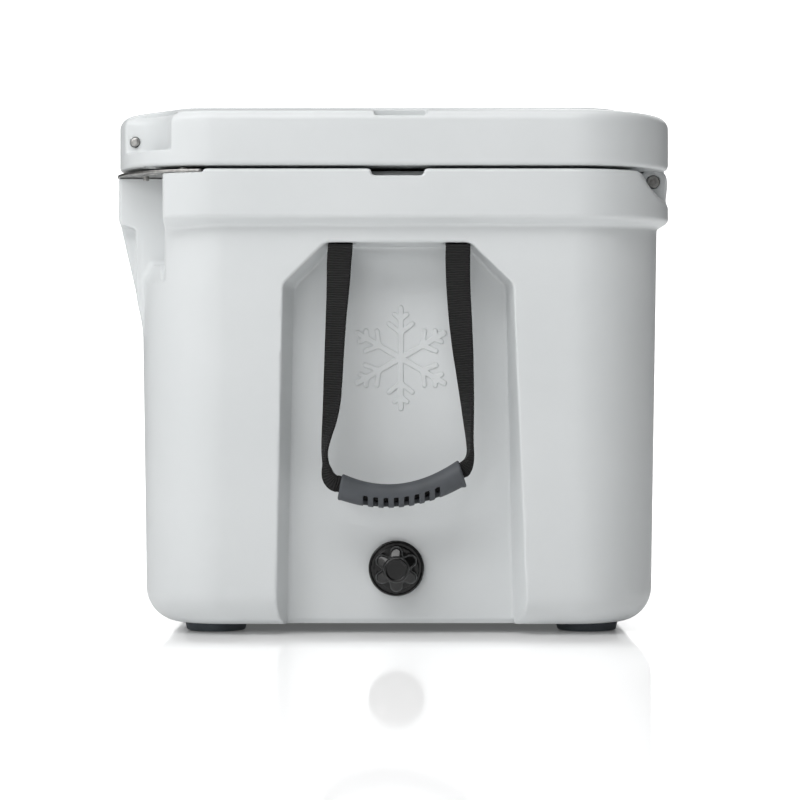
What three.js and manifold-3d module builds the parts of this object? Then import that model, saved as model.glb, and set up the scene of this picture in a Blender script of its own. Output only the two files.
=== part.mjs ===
// Hard-sided cooler chest, 960 long, 494 deep, 462 high. Millimetres, +Z up, latches on the -Y side.
// Both shells are hollow rotomoulded plastic filled with foam, and each is closed by a fill plug.
import * as THREE from "three";
import { mergeVertices } from "three/addons/utils/BufferGeometryUtils.js";
import Module from "manifold-3d";

const wasm = await Module();
wasm.setup();

// ---- driving dimensions
const GAP = 0.3;
const HALF_LENGTH = 480;
const HALF_DEPTH = 245;
const CORNER = 90;
const CORNER_STEPS = 6;
const WALL = 5;

// body
const BASE_Z = 8;
const BASE_EDGE = 30;
const SHOULDER_Z = 357.5;
const BAND_Z = 363;
const RIM_Z = 405;
const RIM_EDGE = 3;
const FLOOR_Z = 58;
const HOLLOW_TOP_Z = 392;

// lid
const LID_Z = 408;
const LID_TOP_Z = 460;
const PANEL_Z = 462;
const PLUG_Z = 386;
const LID_EDGE = 13;

// hinge
const HINGE_Y = 230.7;
const HINGE_Z = 399.3;
const BARREL_R = 12.4;
const BARREL_CLEAR = 13.2;
const KNUCKLE_X = [362, 406];
const LUG_X = [270, 360];
const HINGE_PIN_R = 4.5;
const HINGE_HEAD_R = 5.6;

// latch
const LATCH_X = 345;
const LATCH_HALF = 37;
const WELL_HALF = 40;
const WELL_Y = -226;
const WELL_Z = [286, 406];
const LATCH_PIN_Y = -228;
const LATCH_PIN_Z = 432;
const LATCH_PIN_R = 4;
const LATCH_PIN_X = [266, 432];
const LATCH_EYE_R = 9;
const RIB_WIDTH = 26;
const RIB_Y = -244.5;
const PRONG_Z = [344, 362];
const NECK_HALF = 14;

// padlock corner
const PADLOCK_X = 448;
const PADLOCK_Y = -213;
const PADLOCK_R = 5;
const LIP_Z = 422;
const NOTCH_X = 410.6;
const NOTCH_Y = -201;
const NOTCH_Z = 309;
const SCOOP_R = 50;
const PLATE_FRONT_Y = -247;
const PLATE_X = 392;
const PLATE_Y = -166;
const PLATE_Z = [402.3, 404.8];
const PLATE_SCREWS = [[464, -183], [424, -219]];
const PLATE_SCREW_R = 2.6;
const PLATE_HEAD_R = 4.2;

// end recess and handle
const RECESS_X = 431;
const RECESS_TOP_Z = 342;
const STRAP_YS = [-46.7, 55.5];
const STRAP_HALF = 11.5;
const STRAP_THICK = 2.6;
const SWING_X = 468.2;
const SWING_Z = 336.6;
const SLOT_X = [446, 461];
const SLOT_TOP_Z = 357;
const ANCHOR_X = 449.8;
const ANCHOR_Z = 351;
const ANCHOR_R = 2.5;
const GRIP_R = 10.5;
const GRIP_BORE_R = 7.4;

// drain
const DRAIN_Y = 2;
const DRAIN_Z = 57;
const FLANGE_R = 24.5;
const TUBE_R = 17;
const TUBE_BORE_R = 12.4;
const SUMP_X = 340;

// feet
const FOOT_X = 395;
const FOOT_YS = [-159, 172];
const FOOT_R = 28;

// ---- geometry helpers

// Rings of equal point count joined into one closed body; a ring lies across the axis it is stacked on.
function loft(rings, axis) {
  const flat = { x: ["y", "z"], y: ["z", "x"], z: ["x", "y"] }[axis];
  const contour = (ring) => ring.map((p) => new THREE.Vector2(p[flat[0]], p[flat[1]]));
  const turned = THREE.ShapeUtils.area(contour(rings[0])) < 0;
  const stack = turned ? rings.map((ring) => [...ring].reverse()) : rings;
  const count = stack[0].length;
  const positions = stack.flat().flatMap((p) => [p.x, p.y, p.z]);
  const index = [];
  for (let level = 0; level + 1 < stack.length; level += 1) {
    for (let i = 0; i < count; i += 1) {
      const a = level * count + i;
      const b = level * count + ((i + 1) % count);
      index.push(a, b, b + count, a, b + count, a + count);
    }
  }
  const last = (stack.length - 1) * count;
  for (const [a, b, c] of THREE.ShapeUtils.triangulateShape(contour(stack[0]), [])) {
    index.push(a, c, b);
  }
  for (const [a, b, c] of THREE.ShapeUtils.triangulateShape(contour(stack.at(-1)), [])) {
    index.push(last + a, last + b, last + c);
  }
  const geometry = new THREE.BufferGeometry();
  geometry.setAttribute("position", new THREE.Float32BufferAttribute(positions, 3));
  geometry.setIndex(index);
  return geometry;
}

// A rounded rectangle at height z.
function ring(z, x0, x1, y0, y1, radius) {
  const corners = [
    [x1 - radius, y0 + radius, -Math.PI / 2],
    [x1 - radius, y1 - radius, 0],
    [x0 + radius, y1 - radius, Math.PI / 2],
    [x0 + radius, y0 + radius, Math.PI],
  ];
  const points = [];
  for (const [cx, cy, start] of corners) {
    for (let i = 0; i <= CORNER_STEPS; i += 1) {
      const angle = start + (i / CORNER_STEPS) * (Math.PI / 2);
      points.push(new THREE.Vector3(cx + radius * Math.cos(angle), cy + radius * Math.sin(angle), z));
    }
  }
  return points;
}

// A flat outline of [y, z] pairs run along X.
function alongX(outline, x0, x1) {
  return loft([x0, x1].map((x) => outline.map(([y, z]) => new THREE.Vector3(x, y, z))), "x");
}

// A flat outline of [x, z] pairs run along Y.
function alongY(outline, y0, y1) {
  return loft([y0, y1].map((y) => outline.map(([x, z]) => new THREE.Vector3(x, y, z))), "y");
}

function box(x0, x1, y0, y1, z0, z1) {
  const geometry = new THREE.BoxGeometry(x1 - x0, y1 - y0, z1 - z0);
  return geometry.translate((x0 + x1) / 2, (y0 + y1) / 2, (z0 + z1) / 2);
}

function rodX(x0, x1, y, z, radius, sides = 20) {
  const geometry = new THREE.CylinderGeometry(radius, radius, x1 - x0, sides);
  return geometry.rotateZ(-Math.PI / 2).translate((x0 + x1) / 2, y, z);
}

function rodY(y0, y1, x, z, radius, sides = 16) {
  return new THREE.CylinderGeometry(radius, radius, y1 - y0, sides).translate(x, (y0 + y1) / 2, z);
}

function rodZ(z0, z1, x, y, radius, sides = 20) {
  const geometry = new THREE.CylinderGeometry(radius, radius, z1 - z0, sides);
  return geometry.rotateX(Math.PI / 2).translate(x, y, (z0 + z1) / 2);
}

// The same shape on the +X end, or reflected onto the -X end.
function onSide(side, geometry) {
  if (side > 0) {
    return geometry;
  }
  const other = geometry.index ? geometry.toNonIndexed() : geometry.clone();
  const position = other.getAttribute("position");
  const vertex = new THREE.Vector3();
  const corners = [];
  for (let i = 0; i < position.count; i += 3) {
    for (const k of [0, 2, 1]) {
      vertex.fromBufferAttribute(position, i + k);
      corners.push(-vertex.x, vertex.y, vertex.z);
    }
  }
  const mirrored = new THREE.BufferGeometry();
  mirrored.setAttribute("position", new THREE.Float32BufferAttribute(corners, 3));
  return mirrored;
}

function solid(geometry) {
  const bare = geometry.clone();
  bare.deleteAttribute("normal");
  bare.deleteAttribute("uv");
  const merged = mergeVertices(bare, 1e-3);
  return new wasm.Manifold(
    new wasm.Mesh({
      numProp: 3,
      vertProperties: new Float32Array(merged.attributes.position.array),
      triVerts: new Uint32Array(merged.index.array),
    }),
  );
}

function joined(geometries) {
  return geometries.map(solid).reduce((all, one) => all.add(one));
}

function cut(from, ...tools) {
  return tools.reduce((left, tool) => left.subtract(tool), from);
}

function geometryOf(manifold) {
  const mesh = manifold.getMesh();
  const geometry = new THREE.BufferGeometry();
  geometry.setAttribute("position", new THREE.Float32BufferAttribute(mesh.vertProperties, 3));
  geometry.setIndex([...mesh.triVerts]);
  return geometry;
}

function bothEnds(make) {
  return [1, -1].flatMap((side) => make(side).map((geometry) => onSide(side, geometry)));
}

// ---- materials

const FINISH = {
  shell: { color: 0xe9eaec, roughness: 0.55, metalness: 0 },
  foam: { color: 0xe2d9b0, roughness: 0.95, metalness: 0 },
  rubber: { color: 0x2b3138, roughness: 0.8, metalness: 0 },
  blackRubber: { color: 0x17181a, roughness: 0.75, metalness: 0 },
  gloss: { color: 0x0d0e10, roughness: 0.25, metalness: 0 },
  steel: { color: 0xb9bdc1, roughness: 0.35, metalness: 1 },
  webbing: { color: 0x141517, roughness: 0.9, metalness: 0 },
};

function piece(name, finish, shape) {
  const geometry = shape instanceof THREE.BufferGeometry ? shape : geometryOf(shape);
  const mesh = new THREE.Mesh(geometry, new THREE.MeshStandardMaterial(FINISH[finish]));
  mesh.name = name;
  return mesh;
}

// ---- body

// The drafted wall of the body at a height, moved in by inset.
function bodyRing(z, inset) {
  const up = (z - BASE_Z) / (SHOULDER_Z - BASE_Z);
  const halfX = 463 + 6 * up - inset;
  const front = -221 - 5 * up + inset;
  const rear = 229.5 + 5.5 * up - inset;
  const radius = Math.max(72 + 8 * up - inset, 12);
  return ring(z, -halfX, halfX, front, rear, radius);
}

function bandRing(z, inset) {
  const x = HALF_LENGTH - inset;
  const y = HALF_DEPTH - inset;
  return ring(z, -x, x, -y, y, CORNER - inset);
}

function bodyOuter() {
  const rings = [];
  for (const turn of [0, 1, 2, 3]) {
    const angle = (turn / 4) * (Math.PI / 2);
    const z = BASE_Z + BASE_EDGE * (1 - Math.cos(angle));
    rings.push(bodyRing(z, BASE_EDGE * (1 - Math.sin(angle))));
  }
  rings.push(bodyRing(BASE_Z + BASE_EDGE, 0), bodyRing(SHOULDER_Z, 0));
  rings.push(bandRing(BAND_Z, 0), bandRing(RIM_Z - RIM_EDGE, 0), bandRing(RIM_Z, RIM_EDGE));
  return solid(loft(rings, "z"));
}

// The food tub, grown outwards by the wall where the foam space needs it.
function tub(grow) {
  const top = RIM_Z + 10;
  const level = (z, halfX, front, rear, radius) =>
    ring(z, -halfX - grow, halfX + grow, front - grow, rear + grow, radius + grow);
  return solid(
    loft(
      [
        level(FLOOR_Z - grow, 374, -158, 162, 30),
        level(FLOOR_Z + 6 - grow, 388, -171, 175, 40),
        level(FLOOR_Z + 24, 394, -176, 180, 46),
        level(top, 405, -183, 187, 55),
      ],
      "z",
    ),
  );
}

// A trapezium with cut corners that runs out through the underside, its walls sloping in to the floor.
function endRecess(grow) {
  const outline = (x, [front, rear], [frontFoot, rearFoot], top) => {
    const points = [
      [frontFoot - grow, -20],
      [rearFoot + grow, -20],
      [rear + grow, 306],
      [69 + grow * 0.7, top + grow],
      [-60 - grow * 0.7, top + grow],
      [front - grow, 306],
    ];
    return points.map(([y, z]) => new THREE.Vector3(x, y, z));
  };
  const mouth = [[-97.2, 104], [-106, 120.5], RECESS_TOP_Z];
  const deep = outline(RECESS_X - grow, [-88, 98.5], [-95, 105.6], RECESS_TOP_Z - 2);
  return loft([deep, outline(472, ...mouth), outline(495, ...mouth)], "x");
}

function strapSlot(y, grow) {
  return box(
    SLOT_X[0] - grow,
    SLOT_X[1] + grow,
    y - STRAP_HALF - 1 - grow,
    y + STRAP_HALF + 1 + grow,
    RECESS_TOP_Z - 8,
    SLOT_TOP_Z + grow,
  );
}

// The corner under the lock plate, cut away down to a sloping shelf so that a padlock can hang there.
function padlockNotch(grow) {
  const shelf = NOTCH_Z - grow;
  const outline = [
    [NOTCH_X - grow, shelf + 15],
    [NOTCH_X + 17, shelf + 15],
    [NOTCH_X + 33, shelf],
    [490, shelf],
    [490, PLATE_Z[0]],
    [NOTCH_X - grow, PLATE_Z[0]],
  ];
  return alongY(outline, -260, NOTCH_Y + grow);
}

function latchWell(grow) {
  const x0 = LATCH_X - WELL_HALF - grow;
  const x1 = LATCH_X + WELL_HALF + grow;
  return box(x0, x1, -260, WELL_Y + grow, WELL_Z[0] - grow, WELL_Z[1] + grow);
}

// The stepped rear edge of the rim that the lid swings down behind.
function rearLedge(grow) {
  const outline = [
    [216, 420],
    [216, 405],
    [222, 403.6],
    [226, 398],
    [234, 387.5],
    [242, 382.5],
    [250, 379.5],
    [250, 420],
  ];
  return alongX(outline.map(([y, z]) => [y - grow, z - grow]), -490, 490);
}

function bodyPockets(grow) {
  const ends = bothEnds(() => [
    endRecess(grow),
    ...STRAP_YS.map((y) => strapSlot(y, grow)),
    ...STRAP_YS.map((y) => rodY(y - 20, y + 20, ANCHOR_X, ANCHOR_Z, ANCHOR_R + GAP + grow)),
    padlockNotch(grow),
    latchWell(grow),
    rodX(LUG_X[0] - 1.5, LUG_X[1] + 1, HINGE_Y, HINGE_Z, BARREL_CLEAR + grow, 32),
    box(LUG_X[0] - 1.5, LUG_X[1] + 1, HINGE_Y - 3, 260, HINGE_Z - 15.5 - grow, 420),
    rodX(KNUCKLE_X[0] - 5, 490, HINGE_Y, HINGE_Z, HINGE_PIN_R + GAP + grow),
    rodX(KNUCKLE_X[1] - 5, 490, HINGE_Y, HINGE_Z, HINGE_HEAD_R + GAP + grow),
    ribStep(grow),
  ]);
  const drain = [
    rodX(SUMP_X + 20, 470, DRAIN_Y, DRAIN_Z, TUBE_R + GAP + grow, 32),
    box(SUMP_X - grow, 392 + grow, DRAIN_Y - 27 - grow, DRAIN_Y + 27 + grow, 32 - grow, FLOOR_Z + 30),
  ];
  return joined([...ends, ...drain]);
}

function bodyHollow(grow, inset) {
  const space = solid(
    loft(
      [
        bodyRing(BASE_Z + WALL + inset, 34 + inset),
        bodyRing(BASE_Z + WALL + 6, 16 + inset),
        bodyRing(BASE_Z + BASE_EDGE, WALL + inset),
        bodyRing(SHOULDER_Z, WALL + inset),
        bodyRing(HOLLOW_TOP_Z - inset, WALL + inset),
      ],
      "z",
    ),
  );
  return cut(space, tub(grow), bodyPockets(grow), solid(rearLedge(grow)));
}

// Ribs on both sides of each latch, tapering down into the front wall.
function latchRib(x0) {
  const outline = [
    [-215, 292],
    [-225, 280],
    [-228.2, 290],
    [RIB_Y, 362],
    [RIB_Y, 399],
    [RIB_Y + 3, 402],
    [-215, 402],
  ];
  return alongX(outline, x0, x0 + RIB_WIDTH);
}

// The outer face of each outer rib steps back below its broad top.
function ribStep(grow) {
  return box(400 - grow, 420, -260, -229.5 + grow, 284, 360 + grow);
}

// The two prongs the latch head hooks under.
function latchProngs() {
  const outline = [
    [WELL_Y + 2, PRONG_Z[0]],
    [-240, PRONG_Z[0]],
    [-241.2, PRONG_Z[0] + 4],
    [-240, PRONG_Z[1] - 4],
    [WELL_Y + 2, PRONG_Z[1]],
  ];
  return [
    alongX(outline, LATCH_X - WELL_HALF - 1, LATCH_X - NECK_HALF),
    alongX(outline, LATCH_X + NECK_HALF, LATCH_X + WELL_HALF + 1),
  ];
}

// A knuckle round the hinge pin, standing on the rear ledge.
function bodyKnuckle() {
  const outline = [
    [215, 380],
    [241.6, 380],
    [243.1, HINGE_Z - 6],
    [243.1, HINGE_Z],
    [232, 404.6],
    [215, 404.6],
  ];
  return [
    alongX(outline, KNUCKLE_X[0], KNUCKLE_X[1]),
    rodX(KNUCKLE_X[0], KNUCKLE_X[1], HINGE_Y, HINGE_Z, BARREL_R, 32),
  ];
}

// A six-armed snowflake in low relief on the recess floor.
function snowflake() {
  const bars = [];
  for (const turn of [0, 1, 2, 3, 4, 5]) {
    const angle = (turn * Math.PI) / 3;
    const arm = box(-3, 1.2, -2.5, 2.5, 0, 44).rotateX(-angle);
    const twigs = [-1, 1].map((hand) =>
      box(-3, 1.2, -2, 2, 0, 15).rotateX(hand * 0.9).translate(0, 0, 22).rotateX(-angle),
    );
    bars.push(arm, ...twigs);
  }
  return bars.map((bar) => bar.translate(RECESS_X, 5.8, 242));
}

function plateRebate() {
  return box(PLATE_X - 1, 490, -260, PLATE_Y + 1, PLATE_Z[0] - GAP, RIM_Z + 5);
}

// The notch across the end of the rim that a tie-down strap lies in.
function rimNotch() {
  const outline = [[-21, RIM_Z + 1], [-18, RIM_Z - 6], [24.5, RIM_Z - 6], [29, RIM_Z + 1]];
  return alongX(outline, 452, 490);
}

function bodyShell() {
  const outside = bodyOuter().add(
    joined(
      bothEnds(() => [
        latchRib(LATCH_X + WELL_HALF),
        latchRib(LATCH_X - WELL_HALF - RIB_WIDTH),
      ]),
    ),
  );
  const holes = joined([
    ...bothEnds(() => [
      plateRebate(),
      rimNotch(),
      ...PLATE_SCREWS.map(([x, y]) => rodZ(396, 410, x, y, PLATE_SCREW_R + GAP, 12)),
      ...FOOT_YS.map((y) => rodZ(0, BASE_Z + 5, FOOT_X, y, 2.3, 12)),
    ]),
    rodZ(0, BASE_Z + WALL + 12, 0, 0, 12, 24),
  ]);
  const pockets = bodyPockets(0);
  const stood = cut(outside, solid(rearLedge(0))).add(joined(bothEnds(() => bodyKnuckle())));
  const carved = cut(stood, tub(0), pockets, holes, bodyHollow(WALL, 0));
  const fitted = joined([...bothEnds(() => latchProngs()), ...bothEnds(() => snowflake())]);
  return carved.add(fitted);
}

function bodyFoam() {
  return cut(
    bodyHollow(WALL + GAP, GAP),
    solid(rodZ(0, BASE_Z + WALL + 8, 0, 0, 13, 24)),
  );
}

function fillPlug(top, bottom, radius) {
  return rodZ(bottom, top, 0, 0, radius, 24);
}

// ---- lid

function lidRing(z, inset) {
  return bandRing(z, inset);
}

function plugRing(z, inset) {
  return ring(z, -397 + inset, 397 - inset, -176 + inset, 180 - inset, 50 - Math.min(inset, 30));
}

function lidOuter() {
  const rings = [
    plugRing(PLUG_Z, 10),
    plugRing(PLUG_Z + 6, 2),
    plugRing(LID_Z, 0),
    lidRing(LID_Z, 4),
    lidRing(LID_Z + 3, 0),
    lidRing(LID_TOP_Z - LID_EDGE, 0),
    lidRing(LID_TOP_Z - LID_EDGE * 0.54, LID_EDGE * 0.2),
    lidRing(LID_TOP_Z - LID_EDGE * 0.33, LID_EDGE * 0.7),
    lidRing(LID_TOP_Z - LID_EDGE * 0.12, LID_EDGE * 1.8),
    lidRing(LID_TOP_Z, 38),
    lidRing(PANEL_Z, 41),
  ];
  return solid(loft(rings, "z"));
}

function latchPocket(grow) {
  const x0 = LATCH_X - WELL_HALF - grow;
  const x1 = LATCH_X + WELL_HALF + grow;
  return box(x0, x1, -260, -218 + grow, LID_Z - 10, 451 + grow);
}

// The hollow at each front corner of the lid, over the lip a padlock goes through.
function cornerScoop(grow) {
  return rodZ(LIP_Z - grow, 480, 478, -243, SCOOP_R + grow, 36);
}

// Space in the lid for the body's knuckles, and a way round behind them.
function knuckleRelief(grow) {
  const x0 = KNUCKLE_X[0] - 1 - grow;
  const x1 = KNUCKLE_X[1] + 1.5 + grow;
  return [
    rodX(x0, x1, HINGE_Y, HINGE_Z, BARREL_CLEAR + grow, 32),
    box(x0, x1, HINGE_Y - grow, 260, LID_Z - 5, HINGE_Z + BARREL_CLEAR + grow),
  ];
}

function lidPockets(grow) {
  return joined(
    bothEnds(() => [
      latchPocket(grow),
      cornerScoop(grow),
      tieGroove(grow),
      ...knuckleRelief(grow),
      rodX(LATCH_PIN_X[0] - 2, 470, LATCH_PIN_Y, LATCH_PIN_Z, LATCH_PIN_R + GAP + grow),
      rodZ(LID_Z - 5, LIP_Z + 5, PADLOCK_X, PADLOCK_Y, PADLOCK_R + grow),
    ]),
  );
}

function lidHollow(grow, inset) {
  const space = solid(
    loft(
      [
        plugRing(PLUG_Z + WALL + inset, 18 + inset),
        plugRing(LID_Z + 7 + inset, WALL + inset),
        lidRing(LID_Z + 7 + inset, 10 + inset),
        lidRing(LID_TOP_Z - LID_EDGE, 9 + inset),
        lidRing(LID_TOP_Z - WALL - inset, 32 + inset),
      ],
      "z",
    ),
  );
  return cut(space, lidPockets(grow));
}

// A lug under each rear corner of the lid, round the hinge pin.
function lidLug() {
  const outline = [[219, HINGE_Z], [243.1, HINGE_Z], [243.1, LID_Z + 4], [219, LID_Z + 4]];
  return [
    alongX(outline, LUG_X[0], LUG_X[1]),
    rodX(LUG_X[0], LUG_X[1], HINGE_Y, HINGE_Z, BARREL_R, 32),
  ];
}

function gasketGroove(z0, z1, outer, width) {
  const ringAt = (z, x, y) => ring(z, -x, x, -y + 2, y + 2, 60);
  const outside = solid(loft([z0, z1].map((z) => ringAt(z, 422 + outer, 204 + outer)), "z"));
  const inside = [z0 - 1, z1 + 1].map((z) => ringAt(z, 422 + outer - width, 204 + outer - width));
  return cut(outside, solid(loft(inside, "z")));
}

// The groove across each end of the lid's top, over the notch in the rim.
function tieGroove(grow) {
  const floor = LID_TOP_Z - 9 - grow;
  const outline = [[-22 - grow, 470], [-16.5 - grow, floor], [27.5 + grow, floor], [33 + grow, 470]];
  return alongX(outline, 446 - grow, 490);
}

function lidShell() {
  const whole = lidOuter().add(joined(bothEnds(() => lidLug())));
  const holes = joined([
    ...bothEnds(() => [rodX(LUG_X[0] + 20, LUG_X[1] + 5, HINGE_Y, HINGE_Z, HINGE_PIN_R + GAP)]),
    rodZ(PLUG_Z - 5, PLUG_Z + WALL + 8, 0, 0, 12, 24),
  ]);
  const groove = gasketGroove(LID_Z - 2, LID_Z + 3, 6, 12);
  return cut(whole, lidPockets(0), holes, groove, lidHollow(WALL, 0));
}

function lidFoam() {
  return cut(
    lidHollow(WALL + GAP, GAP),
    solid(rodZ(PLUG_Z - 5, PLUG_Z + WALL + 8, 0, 0, 13, 24)),
  );
}

function lidGasket() {
  return gasketGroove(RIM_Z + GAP, LID_Z + 3 - GAP, 5.5, 11);
}

// ---- hinge and latches

function hingePin() {
  const x = KNUCKLE_X[1];
  const shank = rodX(LUG_X[0] + 24, x - 5 + GAP, HINGE_Y, HINGE_Z, HINGE_PIN_R, 24);
  const head = rodX(x - 5 + GAP, x + 0.5, HINGE_Y, HINGE_Z, HINGE_HEAD_R, 24);
  const socket = rodX(x - 2.5, x + 5, HINGE_Y, HINGE_Z, 2.6, 6);
  return (side) =>
    cut(solid(onSide(side, shank)).add(solid(onSide(side, head))), solid(onSide(side, socket)));
}

// A rubber pull with an eye round its pin, a neck between the prongs and a wide head under them.
function latchPull(side) {
  const run = (outline, half) => onSide(side, alongX(outline, LATCH_X - half, LATCH_X + half));
  const eye = onSide(
    side,
    rodX(LATCH_X - LATCH_HALF + 8, LATCH_X + LATCH_HALF - 8, LATCH_PIN_Y, LATCH_PIN_Z, LATCH_EYE_R, 24),
  );
  const strap = run(
    [[-226, 438], [-234, 438], [-241.5, 428], [-242.5, 366], [-229, 366]],
    LATCH_HALF - 12,
  );
  const neck = run([[-230, 368], [-239.4, 368], [-239.4, 340], [-230, 340]], NECK_HALF - 1.2);
  const head = run(
    [[-229, 343], [-238.8, 343], [-239.2, 338], [-233.8, 316], [-231.6, 306], [-229.5, 307]],
    LATCH_HALF,
  );
  const bore = onSide(side, rodX(250, 440, LATCH_PIN_Y, LATCH_PIN_Z, LATCH_PIN_R + GAP, 24));
  return cut([eye, strap, neck, head].map(solid).reduce((a, b) => a.add(b)), solid(bore));
}

function latchPin() {
  return rodX(LATCH_PIN_X[0], LATCH_PIN_X[1], LATCH_PIN_Y, LATCH_PIN_Z, LATCH_PIN_R, 20);
}

// ---- padlock plates

// The plate's outline keeps inside the band at the end and stands 2 mm proud of it at the front.
function plateRing(z) {
  return ring(z, -476.5, 476.5, PLATE_FRONT_Y, 241.5, 84);
}

function lockPlate(side) {
  const sheet = solid(loft(PLATE_Z.map((z) => plateRing(z)), "z"));
  const corner = solid(onSide(side, box(PLATE_X, 490, -260, PLATE_Y, 390, 420)));
  const holes = joined([
    onSide(side, rodZ(400, 408, PADLOCK_X, PADLOCK_Y, PADLOCK_R + 1)),
    ...PLATE_SCREWS.map(([x, y]) => onSide(side, rodZ(400, 408, x, y, PLATE_SCREW_R + GAP, 12))),
  ]);
  return cut(sheet.intersect(corner), holes);
}

function plateScrew([x, y], side) {
  const shank = rodZ(398.5, PLATE_Z[1] + GAP + 0.2, x, y, PLATE_SCREW_R, 12);
  const head = rodZ(PLATE_Z[1] + GAP, PLATE_Z[1] + GAP + 1.8, x, y, PLATE_HEAD_R, 16);
  const socket = rodZ(PLATE_Z[1] + GAP + 0.9, PLATE_Z[1] + 9, x, y, 1.5, 6);
  const whole = joined([onSide(side, shank), onSide(side, head)]);
  return cut(whole, solid(onSide(side, socket)));
}

// ---- feet

function foot(x, y) {
  const profile = [[0, 0], [FOOT_R - 4, 0], [FOOT_R - 1, 2], [FOOT_R, 5], [FOOT_R, BASE_Z - GAP], [0, BASE_Z - GAP]];
  const pad = new THREE.LatheGeometry(profile.map(([r, z]) => new THREE.Vector2(r, z)), 32);
  const disc = solid(pad.rotateX(Math.PI / 2).translate(x, y, 0));
  return cut(disc, solid(rodZ(-2, 3.6, x, y, 6, 16)), solid(rodZ(-2, 12, x, y, 2.3, 12)));
}

function footScrew(x, y) {
  const head = rodZ(1.2, 3.3, x, y, 5, 16);
  const shank = rodZ(3, BASE_Z + 4.5, x, y, 2, 12);
  const socket = rodZ(0, 2.2, x, y, 2, 6);
  return cut(joined([head, shank]), solid(socket));
}

// ---- drain

function drainBushing() {
  const flange = rodX(RECESS_X + 2.6, RECESS_X + 6, DRAIN_Y, DRAIN_Z, FLANGE_R, 32);
  const tube = rodX(376, RECESS_X + 4, DRAIN_Y, DRAIN_Z, TUBE_R, 32);
  const bore = rodX(360, RECESS_X + 20, DRAIN_Y, DRAIN_Z, TUBE_BORE_R, 32);
  return cut(joined([flange, tube]), solid(bore));
}

function washer(x0, x1, outer, inner, sides) {
  return cut(
    solid(rodX(x0, x1, DRAIN_Y, DRAIN_Z, outer, sides)),
    solid(rodX(x0 - 2, x1 + 2, DRAIN_Y, DRAIN_Z, inner, 32)),
  );
}

// A star knob with six rounded lobes, a hub in front and a threaded stem behind.
function drainKnob() {
  const face = RECESS_X + 8.6;
  const lobes = [];
  for (const turn of [0, 1, 2, 3, 4, 5]) {
    const angle = Math.PI / 6 + (turn * Math.PI) / 3;
    const y = DRAIN_Y + 13.8 * Math.cos(angle);
    const z = DRAIN_Z + 13.8 * Math.sin(angle);
    lobes.push(rodX(face, face + 15, y, z, 6.6, 16));
  }
  const disc = rodX(face, face + 14, DRAIN_Y, DRAIN_Z, 14.5, 32);
  const hub = rodX(face + 10, face + 24, DRAIN_Y, DRAIN_Z, 11.5, 32);
  const stem = rodX(RECESS_X - 22, face + 4, DRAIN_Y, DRAIN_Z, TUBE_BORE_R - 0.5, 32);
  return joined([...lobes, disc, hub, stem]);
}

// ---- carrying handles

// The centre line of the loop: down one side, through the grip, up the other.
const GRIP_ENDS = [new THREE.Vector3(SWING_X, -46, 130), new THREE.Vector3(SWING_X, 58.6, 142.2)];
const GRIP_SAG = 13.7;

function gripCentre(t) {
  const point = GRIP_ENDS[0].clone().lerp(GRIP_ENDS[1], t);
  point.z -= 4 * GRIP_SAG * t * (1 - t);
  return point;
}

// A flat cross-section of the webbing: half extents across and through, turned about the path.
function strapSection(centre, along, half, thick, turn) {
  const side = new THREE.Vector3(1, 0, 0).cross(along).normalize();
  const out = new THREE.Vector3(1, 0, 0);
  const across = side.clone().multiplyScalar(Math.cos(turn)).addScaledVector(out, Math.sin(turn));
  const through = out.clone().multiplyScalar(Math.cos(turn)).addScaledVector(side, -Math.sin(turn));
  return [[-1, -1], [1, -1], [1, 1], [-1, 1]].map(([a, b]) =>
    centre.clone().addScaledVector(across, a * half).addScaledVector(through, b * thick),
  );
}

// Each strap falls from its swing line to an elbow outside the grip's end, twisting edge on as it goes.
const ELBOWS = [new THREE.Vector3(SWING_X, -59.5, 143), new THREE.Vector3(SWING_X, 66.5, 155)];

function strapFall(k, u) {
  const z = SWING_Z - 0.6;
  const y = STRAP_YS[k] + (ELBOWS[k].y - STRAP_YS[k]) * u ** 1.5;
  const half = STRAP_HALF - (STRAP_HALF - 6) * u * u;
  const point = new THREE.Vector3(SWING_X, y, z + (ELBOWS[k].z - z) * u);
  return { point, half, thick: STRAP_THICK / 2 + 0.9 * u, turn: (u * u * Math.PI) / 2 };
}

function strapLoop(side) {
  const inside = { half: 5.4, thick: 2.4, turn: Math.PI / 2 };
  const falling = [0, 0.25, 0.5, 0.75, 1];
  const gripped = [-0.02, 0.1, 0.3, 0.5, 0.7, 0.9, 1.02];
  const stations = [
    ...falling.map((u) => strapFall(0, u)),
    ...gripped.map((t) => ({ point: gripCentre(t), ...inside })),
    ...falling.reverse().map((u) => strapFall(1, u)),
  ];
  const rings = stations.map(({ point, half, thick, turn }, i) => {
    const before = stations[Math.max(i - 1, 0)].point;
    const after = stations[Math.min(i + 1, stations.length - 1)].point;
    return strapSection(point, after.clone().sub(before).normalize(), half, thick, turn);
  });
  return solid(onSide(side, tubeOf(rings)));
}

// Rings along a free path, closed by a fan over each end.
function tubeOf(rings) {
  const count = rings[0].length;
  const positions = rings.flat().flatMap((p) => [p.x, p.y, p.z]);
  const index = [];
  for (let level = 0; level + 1 < rings.length; level += 1) {
    for (let i = 0; i < count; i += 1) {
      const a = level * count + i;
      const b = level * count + ((i + 1) % count);
      index.push(a, b, b + count, a, b + count, a + count);
    }
  }
  const last = (rings.length - 1) * count;
  for (let i = 1; i + 1 < count; i += 1) {
    index.push(0, i + 1, i);
    index.push(last, last + i, last + i + 1);
  }
  const geometry = new THREE.BufferGeometry();
  geometry.setAttribute("position", new THREE.Float32BufferAttribute(positions, 3));
  geometry.setIndex(index);
  return geometry;
}

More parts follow.
